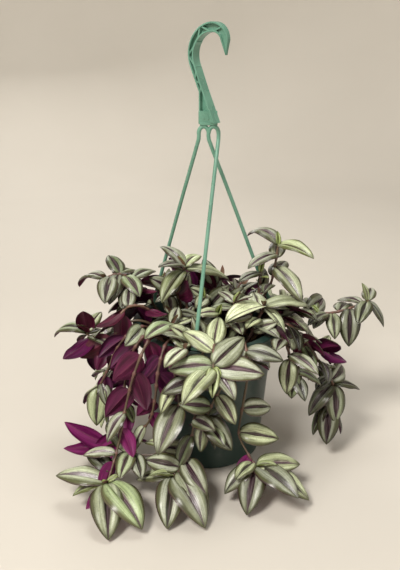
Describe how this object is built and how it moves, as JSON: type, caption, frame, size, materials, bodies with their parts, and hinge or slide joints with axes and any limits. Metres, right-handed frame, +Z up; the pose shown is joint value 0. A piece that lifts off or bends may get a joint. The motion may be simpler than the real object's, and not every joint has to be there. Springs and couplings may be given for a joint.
{
  "type": "potted tradescantia",
  "caption": "Trailing tradescantia with striped silver, green and purple leaves in a dark hanging-basket pot with a three-strand plastic hanger and hook.",
  "frame": {"origin": "middle of the pot's base, on the plane it stands on", "axes": "+Z up along the pot's axis; -Y is the front of the object; the hook's flat side faces -Y"},
  "size_m": [0.3726, 0.3422, 0.4659],
  "materials": {
    "pot": "moulded dark green plastic, semi-matt",
    "hanger": "moulded mint green plastic, satin",
    "soil": "loose dark peat with bits of bark",
    "leaf": "silver-banded green above, magenta purple below, waxy",
    "stem": "smooth reddish brown to yellow-green, satin"
  },
  "bodies": {
    "root": {"hanger": "hanger", "pot": "pot", "shoot_back_1": "leaf", "shoot_back_2": "leaf", "shoot_back_3": "leaf", "shoot_back_4": "leaf", "shoot_back_5": "leaf", "shoot_back_6": "leaf", "shoot_back_7": "leaf", "shoot_back_8": "leaf", "shoot_crown_1": "leaf", "shoot_crown_10": "leaf", "shoot_crown_2": "leaf", "shoot_crown_3": "leaf", "shoot_crown_4": "leaf", "shoot_crown_5": "leaf", "shoot_crown_6": "leaf", "shoot_crown_7": "leaf", "shoot_crown_8": "leaf", "shoot_crown_9": "leaf", "shoot_far_right": "leaf", "shoot_floor_front": "leaf", "shoot_floor_left": "leaf", "shoot_floor_right": "leaf", "shoot_front_left_rosette": "leaf", "shoot_front_low": "leaf", "shoot_front_rosette": "leaf", "shoot_front_trail": "leaf", "shoot_inner_middle": "leaf", "shoot_inner_right": "leaf", "shoot_left_front": "leaf", "shoot_left_hanging": "leaf", "shoot_left_inner": "leaf", "shoot_left_low": "leaf", "shoot_low_left": "leaf", "shoot_magenta_pair": "leaf", "shoot_middle_right": "leaf", "shoot_outer_left": "leaf", "shoot_right_hanging": "leaf", "shoot_right_purple": "leaf", "shoot_right_rim": "leaf", "shoot_side_right": "leaf", "shoot_tall_left": "leaf", "shoot_tall_right": "leaf", "shoot_upper_left": "leaf", "soil": "soil"}
  },
  "joints": []
}
